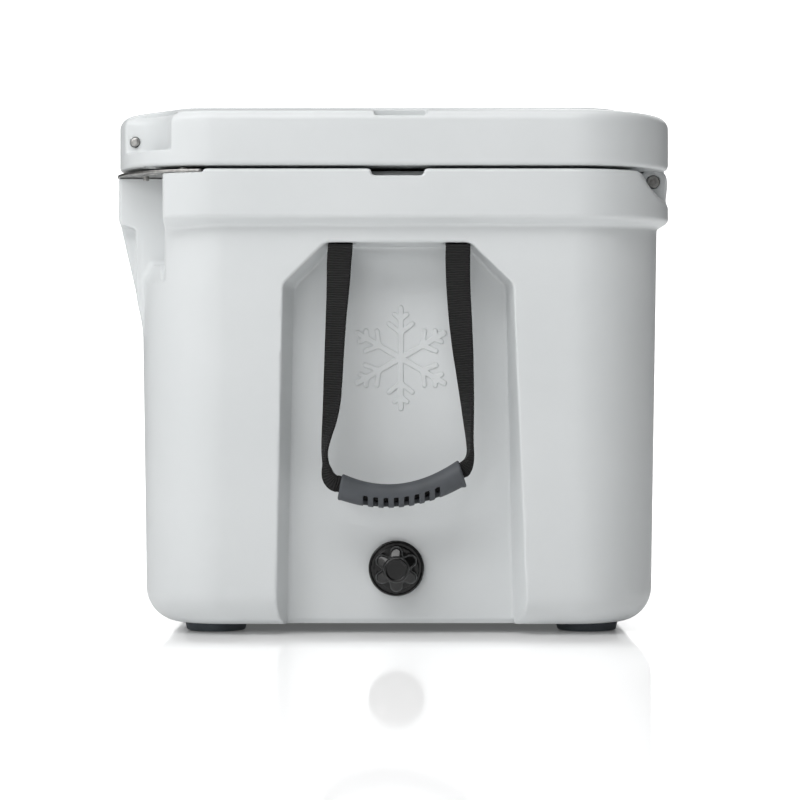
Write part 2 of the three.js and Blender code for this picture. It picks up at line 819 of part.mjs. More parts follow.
function roundRings(radius, from, to, steps, sides) {
  const rings = [];
  for (let i = 0; i <= steps; i += 1) {
    const t = from + ((to - from) * i) / steps;
    const centre = gripCentre(t);
    const along = gripCentre(t + 0.01).sub(gripCentre(t - 0.01)).normalize();
    const up = new THREE.Vector3(1, 0, 0).cross(along).normalize();
    const points = [];
    for (let k = 0; k < sides; k += 1) {
      const angle = (k / sides) * 2 * Math.PI;
      const across = new THREE.Vector3(Math.sin(angle) * radius, 0, 0);
      points.push(centre.clone().addScaledVector(up, Math.cos(angle) * radius).add(across));
    }
    rings.push(points);
  }
  return rings;
}

// A curved rubber grip with finger slots under it.
function grip(side) {
  const body = solid(onSide(side, tubeOf(roundRings(GRIP_R, 0, 1, 10, 20))));
  const bore = solid(onSide(side, tubeOf(roundRings(GRIP_BORE_R, -0.1, 1.1, 12, 16))));
  const slots = [];
  for (let i = 0; i < 8; i += 1) {
    const t = 0.18 + i * 0.0914;
    const centre = gripCentre(t);
    slots.push(box(SWING_X - 14, SWING_X + 14, centre.y - 2, centre.y + 2, centre.z - 14, centre.z - 8.6));
  }
  return cut(body, bore, joined(slots.map((slot) => onSide(side, slot))));
}

// The fixed end of each strap: down out of its slot, then out under the lip.
function strapStub(y) {
  const inner = SWING_X - STRAP_THICK / 2 - 1;
  const drop = box(453, 453 + STRAP_THICK, y - STRAP_HALF, y + STRAP_HALF, 338, SLOT_TOP_Z - 1);
  const run = box(453, inner, y - STRAP_HALF, y + STRAP_HALF, 338, 338 + STRAP_THICK);
  return [drop, run];
}

function anchorPin(y) {
  return rodY(y - 19, y + 19, ANCHOR_X, ANCHOR_Z, ANCHOR_R);
}

// ---- assembly

const chest = new THREE.Group();
chest.add(
  piece("body_shell", "shell", bodyShell()),
  piece("body_foam_core", "foam", bodyFoam()),
  piece("body_fill_plug", "shell", fillPlug(BASE_Z + WALL, BASE_Z + 1, 12 - GAP)),
  piece("lid_shell", "shell", lidShell()),
  piece("lid_foam_core", "foam", lidFoam()),
  piece("lid_fill_plug", "shell", fillPlug(PLUG_Z + WALL, PLUG_Z + 1, 12 - GAP)),
  piece("lid_gasket", "blackRubber", lidGasket()),
  piece("drain_bushing", "gloss", drainBushing()),
  piece("drain_gasket", "blackRubber", washer(RECESS_X + GAP, RECESS_X + 2.3, 23, TUBE_R + GAP, 32)),
  piece("drain_nut", "gloss", washer(384, 391.7, 23, TUBE_R + GAP, 6)),
  piece("drain_seal", "blackRubber", washer(RECESS_X + 6.3, RECESS_X + 8.3, 16, TUBE_BORE_R, 32)),
  piece("drain_knob", "gloss", drainKnob()),
);

for (const [end, side] of [["right", 1], ["left", -1]]) {
  chest.add(
    piece(`hinge_pin_${end}`, "steel", hingePin()(side)),
    piece(`latch_${end}`, "blackRubber", latchPull(side)),
    piece(`latch_pin_${end}`, "steel", onSide(side, latchPin())),
    piece(`lock_plate_${end}`, "steel", lockPlate(side)),
    piece(`handle_strap_${end}`, "webbing", strapLoop(side)),
    piece(`handle_grip_${end}`, "rubber", grip(side)),
  );
  for (const [i, place] of PLATE_SCREWS.entries()) {
    chest.add(piece(`lock_plate_screw_${end}_${i + 1}`, "steel", plateScrew(place, side)));
  }
  for (const [place, y] of [["front", STRAP_YS[0]], ["rear", STRAP_YS[1]]]) {
    chest.add(
      piece(`strap_end_${end}_${place}`, "webbing", joined(strapStub(y).map((g) => onSide(side, g)))),
      piece(`strap_anchor_pin_${end}_${place}`, "steel", onSide(side, anchorPin(y))),
    );
  }
  for (const [place, y] of [["front", FOOT_YS[0]], ["rear", FOOT_YS[1]]]) {
    chest.add(
      piece(`foot_${end}_${place}`, "rubber", foot(side * FOOT_X, y)),
      piece(`foot_screw_${end}_${place}`, "steel", footScrew(side * FOOT_X, y)),
    );
  }
}

// The lock plates stand proud of the lid, so the middle of the depth is moved onto Y = 0.
chest.position.y = -(PLATE_FRONT_Y + HALF_DEPTH) / 2;

export default chest;
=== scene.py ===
"""A cooler chest in a pale studio: moulded shells, webbing handles, rubber latches, drain knob, feet."""

import math

import bpy
import numpy as np
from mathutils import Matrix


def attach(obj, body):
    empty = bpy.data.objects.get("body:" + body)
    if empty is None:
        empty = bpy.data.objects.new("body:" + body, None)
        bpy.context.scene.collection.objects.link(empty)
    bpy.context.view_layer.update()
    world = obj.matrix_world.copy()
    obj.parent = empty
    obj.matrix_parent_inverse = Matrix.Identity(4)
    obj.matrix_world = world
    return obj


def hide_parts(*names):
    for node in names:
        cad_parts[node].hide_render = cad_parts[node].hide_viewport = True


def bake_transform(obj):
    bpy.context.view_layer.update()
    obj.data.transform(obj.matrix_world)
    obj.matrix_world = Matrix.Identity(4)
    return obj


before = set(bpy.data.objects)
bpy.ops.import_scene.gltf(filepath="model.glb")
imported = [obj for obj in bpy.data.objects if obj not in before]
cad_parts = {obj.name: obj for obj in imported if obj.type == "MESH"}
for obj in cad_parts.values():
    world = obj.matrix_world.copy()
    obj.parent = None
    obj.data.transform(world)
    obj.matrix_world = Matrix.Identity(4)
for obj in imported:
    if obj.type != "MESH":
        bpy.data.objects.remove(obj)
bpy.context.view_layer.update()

MM = 0.001
SHIFT_Y = 1.0  # the chest's own middle lies this far from the frame's Y = 0, in mm

# ---------------------------------------------------------------- camera and studio

scene = bpy.context.scene
camera_data = bpy.data.cameras.new("camera")
camera_data.lens = 120.0
camera_data.sensor_width = 36
camera = bpy.data.objects.new("camera", camera_data)
camera.location = (2.780, 0.0062, 0.205)
camera.rotation_euler = (math.pi / 2, 0, math.pi / 2)
scene.collection.objects.link(camera)
scene.camera = camera
scene.view_settings.view_transform = "Standard"


def area_light(name, place, target, size, power):
    """A white rectangle that faces its target."""
    data = bpy.data.lights.new(name, "AREA")
    data.shape = "RECTANGLE"
    data.size, data.size_y = size
    data.energy = power
    light = bpy.data.objects.new(name, data)
    light.location = place
    aim = np.array(target) - np.array(place)
    light.rotation_euler = (
        math.atan2(math.hypot(aim[0], aim[1]), -aim[2]),
        0,
        math.atan2(aim[1], aim[0]) - math.pi / 2,
    )
    scene.collection.objects.link(light)


DRAIN_END = (0.4, 0, 0.25)
area_light("key", (2.4, -2.6, 1.2), DRAIN_END, (2.0, 1.8), 13)
area_light("high key", (1.7, -1.9, 2.2), DRAIN_END, (1.8, 1.6), 32)
area_light("front", (3.8, -1.2, 1.3), DRAIN_END, (1.4, 1.0), 19)
area_light("top", (1.9, -0.35, 2.5), DRAIN_END, (1.8, 1.2), 34)
area_light("overhead", (-0.1, 0, 2.8), (0, 0, 0.25), (2.4, 1.8), 27)
area_light("back", (-2.4, 0.9, 1.8), (-0.2, 0, 0.25), (1.6, 1.2), 10)

world = bpy.data.worlds.new("studio")
scene.world = world
world.use_nodes = True
sky = world.node_tree.nodes["Background"]
sky.inputs["Color"].default_value = (1, 1, 1, 1)
sky.inputs["Strength"].default_value = 0.04


# ---------------------------------------------------------------- materials


class Paint:
    """A material's node tree, with one call for each node kind used here."""

    def __init__(self, name, colour, roughness, metallic=0.0, coords="Object"):
        self.material = bpy.data.materials.new(name)
        self.material.use_nodes = True
        self.tree = self.material.node_tree
        self.shader = self.tree.nodes["Principled BSDF"]
        self.shader.inputs["Base Color"].default_value = (*colour, 1)
        self.shader.inputs["Roughness"].default_value = roughness
        self.shader.inputs["Metallic"].default_value = metallic
        self.where = self.tree.nodes.new("ShaderNodeTexCoord").outputs[coords]

    def link(self, a, b):
        self.tree.links.new(a, b)

    def spread(self, scale):
        node = self.tree.nodes.new("ShaderNodeMapping")
        node.inputs["Scale"].default_value = scale
        self.link(self.where, node.inputs["Vector"])
        return node.outputs["Vector"]

    def noise(self, scale, detail=3.0, stretch=(1, 1, 1)):
        node = self.tree.nodes.new("ShaderNodeTexNoise")
        node.inputs["Scale"].default_value = scale
        node.inputs["Detail"].default_value = detail
        self.link(self.spread(stretch), node.inputs["Vector"])
        return node.outputs["Fac"]

    def wave(self, scale, direction, distortion=0.0, stretch=(1, 1, 1)):
        node = self.tree.nodes.new("ShaderNodeTexWave")
        node.bands_direction = direction
        node.inputs["Scale"].default_value = scale
        node.inputs["Distortion"].default_value = distortion
        self.link(self.spread(stretch), node.inputs["Vector"])
        return node.outputs["Fac"]

    def ramp(self, source, stops):
        node = self.tree.nodes.new("ShaderNodeValToRGB")
        first, last = node.color_ramp.elements
        for element, (at, colour) in zip((first, last), (stops[0], stops[-1])):
            element.position = at
            element.color = (*colour, 1)
        for at, colour in stops[1:-1]:
            node.color_ramp.elements.new(at).color = (*colour, 1)
        self.link(source, node.inputs["Fac"])
        return node.outputs["Color"]

    def scaled(self, source, low, high):
        node = self.tree.nodes.new("ShaderNodeMapRange")
        node.inputs["To Min"].default_value = low
        node.inputs["To Max"].default_value = high
        self.link(source, node.inputs["Value"])
        return node.outputs["Result"]

    def colour(self, source, stops):
        self.link(self.ramp(source, stops), self.shader.inputs["Base Color"])

    def rough(self, source, low, high):
        self.link(self.scaled(source, low, high), self.shader.inputs["Roughness"])

    def bump(self, source, strength, depth):
        node = self.tree.nodes.new("ShaderNodeBump")
        node.inputs["Strength"].default_value = strength
        node.inputs["Distance"].default_value = depth
        self.link(source, node.inputs["Height"])
        before = self.shader.inputs["Normal"]
        if before.is_linked:
            self.link(before.links[0].from_socket, node.inputs["Normal"])
        self.link(node.outputs["Normal"], before)


def grey(value, tint=(1, 1, 1)):
    return tuple(value * t for t in tint)


def moulded_white():
    paint = Paint("moulded_white", grey(0.72), 0.42)
    paint.colour(
        paint.noise(7, 4),
        [(0.3, grey(0.605, (0.955, 0.99, 1))), (0.7, grey(0.635, (0.96, 0.99, 1)))],
    )
    paint.rough(paint.noise(35, 3), 0.3, 0.44)
    paint.bump(paint.noise(14, 2), 0.2, 0.001)
    paint.bump(paint.noise(900, 2), 0.12, 0.0002)
    return paint.material


def rubber(name, low, high, tint=(1, 1, 1)):
    paint = Paint(name, grey(high, tint), 0.6)
    paint.colour(paint.noise(60, 4), [(0.3, grey(low, tint)), (0.7, grey(high, tint))])
    paint.rough(paint.noise(120, 3), 0.5, 0.72)
    paint.bump(paint.noise(1400, 2), 0.25, 0.0002)
    return paint.material


def gloss_black():
    paint = Paint("gloss_black", grey(0.012), 0.22)
    paint.colour(paint.noise(80, 3), [(0.35, grey(0.003)), (0.7, grey(0.006))])
    paint.rough(paint.noise(160, 3), 0.1, 0.18)
    paint.bump(paint.noise(500, 2), 0.1, 0.0001)
    return paint.material


def brushed_steel():
    paint = Paint("brushed_steel", grey(0.4), 0.33, metallic=1.0)
    warm = (1, 0.99, 0.96)
    streaks = paint.noise(300, 3, stretch=(0.06, 1, 1))
    paint.colour(streaks, [(0.3, grey(0.30, warm)), (0.7, grey(0.46, warm))])
    paint.rough(streaks, 0.26, 0.44)
    paint.bump(streaks, 0.15, 0.0001)
    return paint.material


def foam():
    paint = Paint("foam", (0.74, 0.66, 0.42), 0.9)
    paint.colour(paint.noise(90, 4), [(0.3, (0.70, 0.61, 0.37)), (0.7, (0.80, 0.72, 0.48))])
    paint.bump(paint.noise(500, 4), 0.6, 0.0006)
    return paint.material


def webbing():
    """Ribbed nylon webbing: ribs across the band, with a painted highlight along their crests, and pairs
    of warp threads along it.
    """
    paint = Paint("webbing", grey(0.006), 0.6, coords="UV")
    ribs = paint.wave(1.0, "Y", 0.5, stretch=(1, 150, 1))
    warp = paint.wave(1.0, "X", 0.4, stretch=(3.1, 1, 1))
    # The ribs' crests are painted lighter than their hollows: a painted highlight along each rib, standing
    # in for light catching the crests.
    paint.colour(ribs, [(0.2, grey(0.0012)), (0.8, grey(0.0085))])
    paint.rough(paint.noise(90, 3), 0.6, 0.8)
    paint.shader.inputs["Specular IOR Level"].default_value = 0.3
    paint.bump(ribs, 1.0, 0.0006)
    paint.bump(warp, 0.4, 0.0003)
    return paint.material


WHITE = moulded_white()
BLACK_RUBBER = rubber("black_rubber", 0.012, 0.022)
SLATE_RUBBER = rubber("slate_rubber", 0.06, 0.085, (0.8, 0.97, 1.12))
GRIP_RUBBER = rubber("grip_rubber", 0.052, 0.07, (0.88, 0.97, 1.1))
GLOSS = gloss_black()
STEEL = brushed_steel()
FOAM = foam()
WEBBING = webbing()


# ---------------------------------------------------------------- solids from distance fields, in mm


def length(*parts):
    return np.sqrt(sum(part * part for part in parts))


def both(a, b, r=0.0):
    """What is in a and in b, its edge rounded to radius r."""
    if r == 0:
        return np.maximum(a, b)
    outer = length(np.maximum(a + r, 0), np.maximum(b + r, 0))
    return np.minimum(-r, np.maximum(a, b)) + outer


def either(a, b, r=0.0):
    """What is in a or in b, with a fillet of radius r between them."""
    if r == 0:
        return np.minimum(a, b)
    inner = length(np.maximum(r - a, 0), np.maximum(r - b, 0))
    return np.maximum(r, np.minimum(a, b)) - inner


def cut(a, b, r=0.0):
    return both(a, -b, r)


def plan(x, y, hx, y0, y1, r):
    """A rounded rectangle, from -hx to hx and y0 to y1."""
    qx = np.abs(x) - hx + r
    qy = np.abs(y - (y0 + y1) / 2) - (y1 - y0) / 2 + r
    outside = length(np.maximum(qx, 0), np.maximum(qy, 0))
    return outside + np.minimum(np.maximum(qx, qy), 0) - r


def between(v, low, high):
    return np.maximum(low - v, v - high)


def block(x, y, z, low, high, r):
    """A box with every edge rounded."""
    q = [np.abs(p - (a + b) / 2) - (b - a) / 2 + r for p, a, b in zip((x, y, z), low, high)]
    outside = length(*[np.maximum(p, 0) for p in q])
    return outside + np.minimum(np.maximum(np.maximum(q[0], q[1]), q[2]), 0) - r


def rod(u, v, along, radius, low, high, r=0.0):
    return both(length(u, v) - radius, between(along, low, high), r)


class Field:
    """A base shape and local features. A feature is worked out only inside its own box."""

    def __init__(self, base):
        self.base = base
        self.features = []

    def add(self, how, shape, r, low, high, mirrored=True):
        self.features.append((how, shape, r, low, high, mirrored))
        return self

    def __call__(self, x, y, z):
        whole = np.broadcast_shapes(x.shape, y.shape, z.shape)
        d = np.array(np.broadcast_to(self.base(x, y, z), whole))
        for how, shape, r, low, high, mirrored in self.features:
            u = np.abs(x) if mirrored else x
            inside = [(p >= a) & (p <= b) for p, a, b in zip((u, y, z), low, high)]
            if d.ndim == 3:
                at = [np.flatnonzero(i) for i in inside]
                if min(len(i) for i in at) == 0:
                    continue
                near = np.ix_(*at)
                local = u[at[0]], y[:, at[1]], z[:, :, at[2]]
            else:
                near = inside[0] & inside[1] & inside[2]
                local = u[near], y[near], z[near]
            d[near] = how(d[near], shape(*local), r)
        return d


def slope_of(shape, p):
    """The shape's distance at each point, and its gradient."""
    step = 0.05
    d = shape(*p.T)
    g = np.empty_like(p)
    for axis in range(3):
        moved = p.copy()
        moved[:, axis] += step
        g[:, axis] = (shape(*moved.T) - d) / step
    return d, g


def pulled(shape, p, most, times=2):
    """Points moved onto the shape's surface, and the unit normals there."""
    for _ in range(times):
        d, g = slope_of(shape, p)
        size = np.maximum((g * g).sum(1), 0.05)
        p = p - np.clip(d / size, -most, most)[:, None] * g
    _, g = slope_of(shape, p)
    return p, g / np.maximum(np.linalg.norm(g, axis=1), 1e-6)[:, None]


CORNERS = np.array([[i, j, k] for i in (0, 1) for j in (0, 1) for k in (0, 1)])
EDGES = [
    (a, b)
    for a in range(8)
    for b in range(a + 1, 8)
    if abs(CORNERS[a] - CORNERS[b]).sum() == 1
]


def netted(shape, low, high, step):
    """The shape's surface as vertices and quads: one vertex to each grid cell that the surface crosses."""
    axes = [np.arange(a - 1.5 * step, b + 2.5 * step, step) for a, b in zip(low, high)]
    x, y, z = axes[0][:, None, None], axes[1][None, :, None], axes[2][None, None, :]
    d = shape(x, y, z)
    solid = d < 0
    n = [s - 1 for s in d.shape]
    count = np.zeros(n, np.int8)
    for i, j, k in CORNERS:
        count += solid[i : n[0] + i, j : n[1] + j, k : n[2] + k]
    cells = np.argwhere((count > 0) & (count < 8))
    values = np.stack([d[tuple((cells + c).T)] for c in CORNERS], 1)
    total = np.zeros((len(cells), 3))
    crossings = np.zeros((len(cells), 1))
    for a, b in EDGES:
        va, vb = values[:, a], values[:, b]
        crossed = ((va < 0) != (vb < 0))[:, None]
        t = (va / np.where(va == vb, 1, va - vb))[:, None]
        total += np.where(crossed, CORNERS[a] + t * (CORNERS[b] - CORNERS[a]), 0)
        crossings += crossed
    points = np.array([a[0] for a in axes]) + step * (cells + total / crossings)
    number = np.full(n, -1, np.int32)
    number[tuple(cells.T)] = np.arange(len(cells))
    quads = []
    for axis in range(3):
        one, two = (axis + 1) % 3, (axis + 2) % 3
        first = [slice(None)] * 3
        second = [slice(None)] * 3
        first[axis], second[axis] = slice(0, -1), slice(1, None)
        change = solid[tuple(first)].astype(np.int8) - solid[tuple(second)]
        edge = np.argwhere(change)
        edge = edge[(edge[:, one] > 0) & (edge[:, two] > 0)]
        edge = edge[(edge[:, one] < n[one]) & (edge[:, two] < n[two])]
        leaving = change[tuple(edge.T)] > 0
        around = []
        for s, t in ((0, 0), (-1, 0), (-1, -1), (0, -1)):
            cell = edge.copy()
            cell[:, one] += s
            cell[:, two] += t
            around.append(number[tuple(cell.T)])
        quad = np.stack(around, 1)
        quads.append(np.where(leaving[:, None], quad, quad[:, ::-1]))
    return points, np.concatenate(quads)


def mesh_of(name, points, faces):
    mesh = bpy.data.meshes.new(name)
    mesh.vertices.add(len(points))
    mesh.vertices.foreach_set("co", np.ascontiguousarray(points, np.float32).ravel())
    sides = faces.shape[1]
    mesh.loops.add(faces.size)
    mesh.loops.foreach_set("vertex_index", np.ascontiguousarray(faces, np.int32).ravel())
    mesh.polygons.add(len(faces))
    mesh.polygons.foreach_set("loop_start", np.arange(0, faces.size, sides, dtype=np.int32))
    mesh.update(calc_edges=True)
    mesh.validate()
    return mesh


def read_points(mesh):
    co = np.empty(len(mesh.vertices) * 3, np.float32)
    mesh.vertices.foreach_get("co", co)
    return co.reshape(-1, 3).astype(float)


def placed(obj, material, body, nodes):
    """Gives a piece its material, the CAD body it rides on and the CAD nodes it stands for."""
    obj.data.materials.clear()
    obj.data.materials.append(material)
    if body:
        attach(obj, body)
    if nodes:
        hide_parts(*nodes)
    return obj


def moulded(name, shape, low, high, step, keep, material, body, nodes, slot):
    """A piece from a distance field in mm: netted, thinned to the share keep, and shaded by its slope."""
    points, quads = netted(shape, low, high, step)
    points, _ = pulled(shape, points, step / 2)
    mesh = mesh_of(name, points, quads)
    obj = bpy.data.objects.new(name, mesh)
    scene.collection.objects.link(obj)
    if keep < 1:
        thin = obj.modifiers.new("thin", "DECIMATE")
        thin.ratio = keep
        graph = bpy.context.evaluated_depsgraph_get()
        thinned = bpy.data.meshes.new_from_object(obj.evaluated_get(graph))
        obj.modifiers.clear()
        obj.data = thinned
        bpy.data.meshes.remove(mesh)
        mesh = thinned
        mesh.name = name
    points, normals = pulled(shape, read_points(mesh), step / 3, 1)
    points = (points + (0, SHIFT_Y, 0)) * MM
    mesh.vertices.foreach_set("co", points.astype(np.float32).ravel())
    mesh.polygons.foreach_set("use_smooth", np.ones(len(mesh.polygons), bool))
    mesh.normals_split_custom_set_from_vertices(normals.astype(np.float32))
    mesh.update()
    return placed(obj, material, body, nodes)


def on_side(side, shape, low, high):
    """The right end's shape and box, at the right where side is 1 and at the left where it's -1."""
    near, far = sorted((side * low[0], side * high[0]))
    return lambda x, y, z: shape(x * side, y, z), (near, *low[1:]), (far, *high[1:])


# ---------------------------------------------------------------- body

FACE_X = 480  # the rim's end, and the lid's
BASE_Z = 8  # the body's underside, on its feet
RIM_Z = 405
HINGE = (230.7, 399.3)  # Y and Z of the hinge's axis
LATCH_PIN = (-228, 432)  # Y and Z of the latch pins' axis
LATCH_X = 345
WELL_HALF = 40  # half the width of a latch's well
RECESS_X = 431  # the floor of the end recess
DRAIN = (2, 57)  # Y and Z of the drain's axis
SHACKLE = (448, -213)  # X and Y of a padlock hole
STRAP_YS = (-46.7, 55.5)
FILL_R = 12.2


def rim_outline(x, y):
    return plan(x, y, FACE_X, -245, 245, 90)


def off_hinge(y, z):
    return y - HINGE[0], z - HINGE[1]


def off_latch_pin(y, z):
    return y - LATCH_PIN[0], z - LATCH_PIN[1]


def off_drain(y, z):
    return y - DRAIN[0], z - DRAIN[1]


def wall(x, y, z, out=0.0):
    """The body's drafted wall."""
    up = (z - BASE_Z) / 349.5
    return plan(x, y, 463 + 6 * up + out, -221 - 5 * up - out, 229.5 + 5.5 * up + out, 72 + 8 * up)


def body_base(x, y, z):
    shell = both(wall(x, y, z), between(z, BASE_Z, RIM_Z - 10), 30)
    band = rim_outline(x, y)
    under = (363 + 0.5 * band - z) / 1.118
    rim = both(both(band, under, 2.5), z - RIM_Z, 3)
    return either(shell, rim, 2.5)


def tub(x, y, z):
    up = (z - 82) / 333
    hollow = plan(x, y, 394 + 11 * up, -176 - 7 * up, 180 + 7 * up, 46 + 9 * up)
    return both(hollow, 58 - z, 26)


def end_recess(x, y, z):
    """The trapezium with cut corners; its walls slope in to the floor."""
    out = (x - RECESS_X) / 41
    down = (306 - z) / 298
    front = -88 - 6.3 * down - out * (9.2 + 1.2 * down)
    rear = 98.5 + 6.5 * down + out * (5.5 + 8.5 * down)
    sides = both((front - y) / 1.03, (y - rear) / 1.03)
    top = z - 342 + 2 * (1 - out)
    corner_front = (-(y - front) + (z - 306)) / 1.414
    corner_rear = ((y - rear) + (z - 306)) / 1.414
    mouth = both(both(sides, top, 2), both(corner_front, corner_rear), 3)
    return both(mouth, RECESS_X - x, 2.5)


def latch_rib(x, y, z):
    """The two ribs that flank each latch; the one nearer the corner steps back at the top."""
    ribs = np.abs(np.abs(x - LATCH_X) - WELL_HALF - 13) - 13
    front = np.maximum(-244.5 - y, (-(y + 228.2) - 0.226 * (z - 290)) / 1.025)
    whole = both(both(both(ribs, front, 3), z - 402, 2.5), y + 201)
    step = both(both(y + 229.5, z - 360, 3), 400 - x, 2)
    return cut(whole, both(step, 284 - z), 2)


def latch_prongs(x, y, z):
    """The two bars that the latch's head hooks under."""
    bars = np.abs(np.abs(x - LATCH_X) - 27.5) - 13.5
    nose = both(between(y, -241, -220), (z - 366 - 0.6 * (y + 226)) / 1.17, 4)
    return both(both(bars, nose, 3), 344 - z, 2)


def rear_ledge(x, y, z):
    """Behind the rim's rear edge: a step the lid swings down behind."""
    face = (226 - y + 0.62 * (388 - z)) / 1.18
    floor = (381 - z + 0.35 * (242 - y)) / 1.06
    return both(face, floor, 7)


def knuckle(x, y, z):
    """The body's knuckle, which the hinge pin's head sits in."""
    barrel = length(*off_hinge(y, z)) - 12.4
    foot = both(both(y - 243.1, (y - 243.1 + 0.11 * (393.3 - z)) / 1.01), between(z, 360, 399.3))
    foot = both(foot, 205 - y)
    web = both(between(y, 205, 231), between(z, 360, 404.6), 3)
    return both(np.minimum(np.minimum(barrel, foot), web), between(x, 362, 406), 1.5)


def strap_slots(x, y, z):
    slots = np.minimum(*[np.abs(y - middle) for middle in STRAP_YS]) - 12.5
    return both(both(slots, between(x, 446, 461), 2), between(z, 330, 357), 2)


def padlock_notch(x, y, z):
    """The open corner under the lock plate, with a shelf that falls away outwards."""
    shelf = np.minimum(324 - z, (309 + 0.94 * (443.6 - x) - z) / 1.37)
    shelf = np.minimum(shelf, (309 - 1.9 * wall(x, y, z) - z) / 2.15)
    shelf = np.maximum(shelf, 309 - z)
    return both(both(410.6 - x, shelf, 5), y + 201, 3)


def recess_foot(x, y, z):
    """A bevel where the recess's floor runs out under the body."""
    return (z - 12 + RECESS_X - x) / 1.414


def latch_well(x, y, z):
    return block(x, y, z, (305, -262, 286), (385, -226, 412), 5)


def plate_seat(x, y, z):
    return both(both(391 - x, y + 165, 1), 402 - z, 0.4)


def rim_notch(x, y, z):
    """The notch in the end's rim for a tie-down strap."""
    flare = 0.4 * (z - RIM_Z)
    mouth = between(y, -20.7 - flare, 27 + flare)
    return both(both(mouth, 399 - z, 1.5), 452 - x, 2)


def lug_channel(x, y, z):
    return rod(*off_hinge(y, z), x, 13.2, 268.5, 361)


def lug_gap(x, y, z):
    return both(both(227.7 - y, 383.8 - z, 2), between(x, 268.5, 361))


def pin_holes(x, y, z):
    u, v = off_hinge(y, z)
    return np.minimum(rod(u, v, x, 4.8, 350, 430), rod(u, v, x, 5.9, 401, 430))


def drain_pocket(x, y, z):
    return block(x, y, z, (330, -25, 32), (396, 29, 90), 6)


def drain_bore(x, y, z):
    return rod(*off_drain(y, z), x, 17.3, 380, 470)


def body_fill_hole(x, y, z):
    return rod(x, y, z, FILL_R, 0, 13.6)


body = Field(body_base)
body.add(either, latch_rib, 3, (270, -262, 262), (425, -200, 405))
body.add(cut, rear_ledge, 5, (-1, 200, 365), (490, 262, 420))
body.add(cut, tub, 5, (-1, -210, 40), (425, 215, 420))
body.add(cut, end_recess, 1.6, (415, -125, 0), (490, 140, 360))
body.add(cut, recess_foot, 0.8, (RECESS_X - 6, -94.5, 0), (RECESS_X + 3, 105.5, 14))
body.add(cut, strap_slots, 1.5, (435, -75, 325), (475, 80, 370))
body.add(cut, latch_well, 4, (290, -262, 275), (400, -212, 415))
body.add(either, latch_prongs, 3, (290, -262, 335), (400, -212, 375))
body.add(cut, padlock_notch, 2, (400, -262, 295), (492, -190, 412))
body.add(cut, plate_seat, 0.5, (385, -262, 396), (492, -158, 410))
body.add(cut, rim_notch, 1.5, (445, -30, 394), (492, 38, 410))
body.add(cut, lug_channel, 1, (262, 210, 380), (366, 250, 418))
body.add(cut, lug_gap, 1, (262, 222, 378), (366, 262, 418))
body.add(either, knuckle, 2, (356, 200, 360), (412, 262, 418))
body.add(cut, pin_holes, 0.5, (355, 220, 388), (415, 242, 411))
body.add(cut, drain_pocket, 4, (315, -40, 20), (400, 45, 75), mirrored=False)
body.add(cut, drain_bore, 0.8, (385, -20, 35), (440, 24, 80), mirrored=False)
body.add(cut, body_fill_hole, 0.8, (-20, -20, 0), (20, 20, 20))

moulded(
    "body_molded",
    body,
    (-480, -250, 8),
    (480, 246, 412),
    2.2,
    0.1,
    WHITE,
    "chest",
    ["body_shell"],
    "shell",
)


# ---------------------------------------------------------------- lid


def lid_base(x, y, z):
    outline = rim_outline(x, y)
    crown = 460 - 6 * np.clip(1 + outline / 60, 0, 1) ** 3
    slab = both(both(outline, 407.8 - z, 4), z - crown, 8)
    inset = (391 - z) * 0.25
    plug = plan(x, y, 397 - np.maximum(inset, 0), -176, 180, 50)
    plug = both(plug, between(z, 386, 430), 6)
    panel = both(outline + 40, between(z, 430, 462), 1.6)
    return either(either(slab, plug, 3), panel, 1.5)


def latch_pocket(x, y, z):
    return block(x, y, z, (305, -275, 380), (385, -218, 451), 5)


def corner_scoop(x, y, z):
    """A round scoop out of each front corner, flaring at its top edge."""
    flare = 8 - np.sqrt(64 - np.clip(z - 446, 0, 7.8) ** 2)
    return both(length(x - 478, y + 243) - 50 - flare, 422 - z, 3)


def knuckle_relief(x, y, z):
    barrel = length(*off_hinge(y, z)) - 13.2
    behind = both(HINGE[0] - y, z - HINGE[1] - 13.2)
    return both(np.minimum(barrel, behind), between(x, 361, 407.5), 1)


def lid_lug(x, y, z):
    barrel = length(*off_hinge(y, z)) - 12.4
    web = both(between(y, 219, 243.1), between(z, HINGE[1], 420))
    return both(np.minimum(barrel, web), between(x, 270, 360), 2)


def latch_pin_bore(x, y, z):
    return rod(*off_latch_pin(y, z), x, 4.3, 264, 480)


def shackle_hole(x, y, z):
    return rod(x - SHACKLE[0], y - SHACKLE[1], z, 5, 400, 440)


def lug_bore(x, y, z):
    return rod(*off_hinge(y, z), x, 4.8, 290, 365)


def gasket_line(x, y):
    """The distance from the middle of the lid's gasket."""
    return np.abs(plan(x, y, 422, -202, 206, 60))


def gasket_groove(x, y, z):
    return both(gasket_line(x, y) - 6, between(z, 400, 411))


def tie_groove(x, y, z):
    """The groove in the lid's top, over the notch in the rim."""
    flare = 0.3 * (z - 451)
    mouth = between(y, -16.5 - flare, 27.5 + flare)
    return both(both(mouth, 451 - z, 1.5), 446 - x, 2)


def lid_fill_hole(x, y, z):
    return rod(x, y, z, FILL_R, 380, 391.6)


